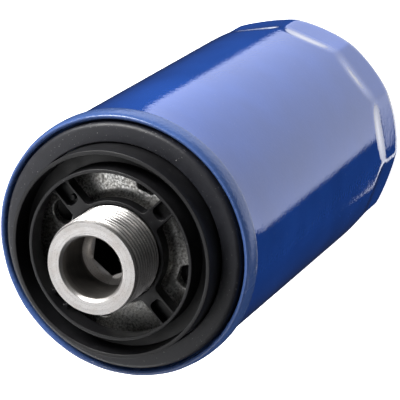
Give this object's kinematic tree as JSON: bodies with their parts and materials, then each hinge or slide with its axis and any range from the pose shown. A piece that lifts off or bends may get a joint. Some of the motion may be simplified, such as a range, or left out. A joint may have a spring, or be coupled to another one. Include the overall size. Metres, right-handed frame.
{
  "type": "spin-on oil filter",
  "caption": "Spin-on oil filter: glossy blue steel canister with wrench flats, flat rubber gasket, spoked black insert and a hollow male threaded spigot; pleated element and valves inside.",
  "frame": {"origin": "centre of the flat closed end, which the filter stands on", "axes": "+Z along the filter's axis towards the threaded spigot; +X through the middle of the first spoke of the insert"},
  "size_m": [0.0762, 0.0762, 0.1527],
  "materials": {
    "enamel": "glossy enamel, orange peel",
    "zinc_plate": "matte zinc plating",
    "turned_steel": "turned, bright",
    "gasket_rubber": "moulded, dusty",
    "valve_rubber": "moulded, oiled",
    "black_nylon": "moulded, satin",
    "tinned_steel": "pressed, bright",
    "adhesive": "cured, dull",
    "filter_paper": "resin-treated, matte",
    "acetal": "moulded, satin",
    "spring_wire": "drawn wire, oiled"
  },
  "bodies": {
    "filter": {"canister": "enamel", "seaming_lid": "enamel", "base_plate": "zinc_plate", "threaded_spigot": "turned_steel", "sealing_gasket": "gasket_rubber", "spoked_insert": "black_nylon", "drain_valve_collar": "valve_rubber", "top_end_cap": "tinned_steel", "top_potting": "adhesive", "pleated_paper": "filter_paper", "pleat_clip": "tinned_steel", "centre_tube": "tinned_steel", "bottom_potting": "adhesive", "bottom_end_cap": "tinned_steel", "bypass_seat": "tinned_steel", "bypass_spring": "spring_wire", "bypass_cage": "tinned_steel", "support_spring": "spring_wire"},
    "bypass_valve": {"bypass_poppet": "acetal", "bypass_seal": "valve_rubber"},
    "drain_lip": {"drain_valve_lip": "valve_rubber"}
  },
  "joints": [
    {"name": "bypass_lift", "type": "slide", "parent": "filter", "child": "bypass_valve", "axis": [0, 0, 1], "range_m": [0, 0.0035], "stiffness_N_per_m": 1500, "springref_m": -0.006, "deforming": ["bypass_spring"]},
    {"name": "drain_lip_drop", "type": "slide", "parent": "filter", "child": "drain_lip", "axis": [0, 0, -1], "range_m": [0, 0.0012], "stiffness_N_per_m": 400, "springref_m": -0.001}
  ]
}
